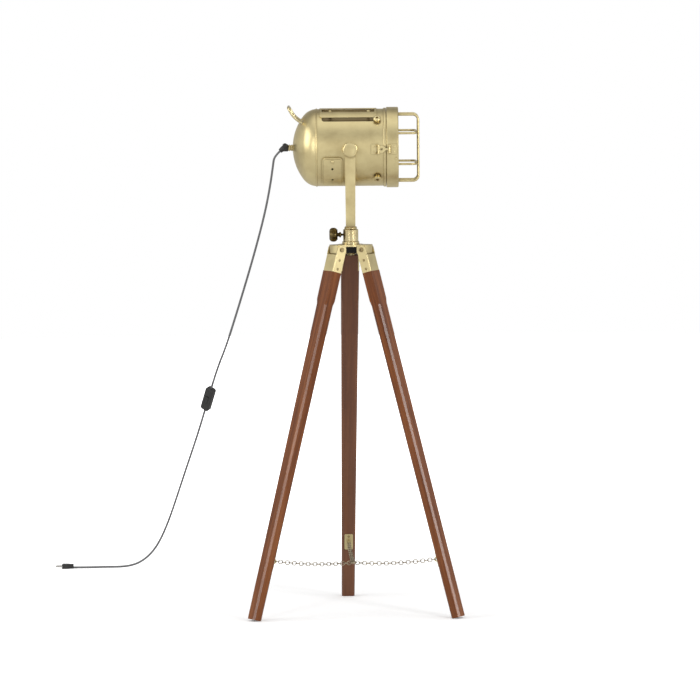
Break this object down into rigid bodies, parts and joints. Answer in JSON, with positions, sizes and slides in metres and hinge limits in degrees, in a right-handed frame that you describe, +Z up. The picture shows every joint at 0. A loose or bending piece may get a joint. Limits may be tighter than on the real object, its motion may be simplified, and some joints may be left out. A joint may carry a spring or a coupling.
{
  "type": "tripod floor lamp",
  "caption": "Searchlight floor lamp: round brass head with a barred guard, in a tilting yoke on three folding wooden legs with chains.",
  "frame": {"origin": "on the floor under the middle of the tripod", "axes": "+Z up, +X the way the head points, -Y the side with the latch"},
  "size_m": [1.1948, 1.173, 1.4142],
  "materials": {
    "antique_brass": "satin, lightly antiqued",
    "stained_wood": "satin varnish",
    "black_plastic": "fine matt",
    "black_cable": "smooth",
    "clear_glass": "clear",
    "frosted_glass": "frosted",
    "white_ceramic": "glazed",
    "nickel": "plated"
  },
  "bodies": {
    "tripod": {"tripod_hub": "antique_brass", "collar": "antique_brass", "pivot_bolts": "antique_brass", "chain_ring": "antique_brass"},
    "leg_left": {"leg_left": "stained_wood", "leg_bracket_left": "antique_brass", "leg_screws_left": "antique_brass", "chain_plate_left": "antique_brass", "chain_left": "antique_brass"},
    "leg_right": {"leg_right": "stained_wood", "leg_bracket_right": "antique_brass", "leg_screws_right": "antique_brass", "chain_plate_right": "antique_brass", "chain_right": "antique_brass"},
    "leg_rear": {"leg_rear": "stained_wood", "leg_bracket_rear": "antique_brass", "leg_screws_rear": "antique_brass", "chain_plate_rear": "antique_brass", "chain_rear": "antique_brass"},
    "mast": {"yoke": "antique_brass", "yoke_stem": "antique_brass", "stem_fasteners": "antique_brass", "cord_head": "black_cable", "cord_floor": "black_cable", "switch_lower": "black_plastic", "switch_upper": "black_plastic", "plug_body": "black_plastic", "plug_pins": "nickel"},
    "head": {"housing_barrel": "antique_brass", "rear_dome": "antique_brass", "vent_cover": "antique_brass", "vent_baffle": "antique_brass", "side_cover": "antique_brass", "housing_screws": "antique_brass", "socket_bolts": "antique_brass", "lampholder": "white_ceramic", "holder_strap": "nickel", "bulb_glass": "frosted_glass", "bulb_cap": "nickel", "handle": "antique_brass", "handle_nuts": "antique_brass", "cord_nipple": "antique_brass", "cord_grip": "black_plastic", "grip_screw": "black_plastic", "pivot_studs": "antique_brass", "hinge_leaf_body": "antique_brass", "hinge_pin": "antique_brass", "latch_base": "antique_brass"},
    "door": {"bezel": "antique_brass", "lens_glass": "clear_glass", "lens_ring": "antique_brass", "lens_screws": "antique_brass", "guard_bars": "antique_brass", "hinge_leaf_door": "antique_brass", "latch_catch": "antique_brass"},
    "latch": {"latch_lever": "antique_brass"},
    "tilt_knob_near": {"pivot_knob_near": "antique_brass"},
    "tilt_knob_far": {"pivot_knob_far": "antique_brass"},
    "collar_clamp": {"thumb_screw": "antique_brass"},
    "switch_rocker": {"switch_rocker": "black_plastic"}
  },
  "joints": [
    {"name": "leg_fold_left", "type": "hinge", "parent": "tripod", "child": "leg_left", "pos_m": [-0.03787, -0.02431, 1.016], "axis": [0.5402, -0.8415, 0], "range_deg": [0, 15], "deforming": ["chain_left"]},
    {"name": "leg_fold_right", "type": "hinge", "parent": "tripod", "child": "leg_right", "pos_m": [0.03999, -0.02064, 1.016], "axis": [0.4587, 0.8886, 0], "range_deg": [0, 15], "deforming": ["chain_right"]},
    {"name": "leg_fold_rear", "type": "hinge", "parent": "tripod", "child": "leg_rear", "pos_m": [-0.00212, 0.04495, 1.016], "axis": [-0.9989, -0.0471, 0], "range_deg": [0, 15], "deforming": ["chain_rear"]},
    {"name": "pan", "type": "hinge", "parent": "tripod", "child": "mast", "pos_m": [0, 0, 1.05], "axis": [0, 0, 1], "range_deg": [-180, 180]},
    {"name": "tilt", "type": "hinge", "parent": "mast", "child": "head", "pos_m": [0, 0, 1.298], "axis": [0, 1, 0], "range_deg": [-45, 45], "deforming": ["cord_head"]},
    {"name": "door", "type": "hinge", "parent": "head", "child": "door", "pos_m": [0.1004, 0.117, 1.298], "axis": [0, 0, 1], "range_deg": [0, 100]},
    {"name": "latch_swing", "type": "hinge", "parent": "head", "child": "latch", "pos_m": [0.078, -0.1145, 1.298], "axis": [0, 0, -1], "range_deg": [0, 110]},
    {"name": "tilt_knob_near_turn", "type": "hinge", "parent": "head", "child": "tilt_knob_near", "pos_m": [0, -0.13, 1.298], "axis": [0, 1, 0], "range_deg": [-180, 180]},
    {"name": "tilt_knob_far_turn", "type": "hinge", "parent": "head", "child": "tilt_knob_far", "pos_m": [0, 0.13, 1.298], "axis": [0, 1, 0], "range_deg": [-180, 180]},
    {"name": "collar_clamp_turn", "type": "hinge", "parent": "tripod", "child": "collar_clamp", "pos_m": [-0.03, 0, 1.0555], "axis": [-1, 0, 0], "range_deg": [-180, 180]},
    {"name": "switch_rock", "type": "hinge", "parent": "mast", "child": "switch_rocker", "pos_m": [-0.41473, 0.41011, 0.55844], "axis": [-0.8007, 0.3737, 0.4682], "range_deg": [0, 8]}
  ]
}
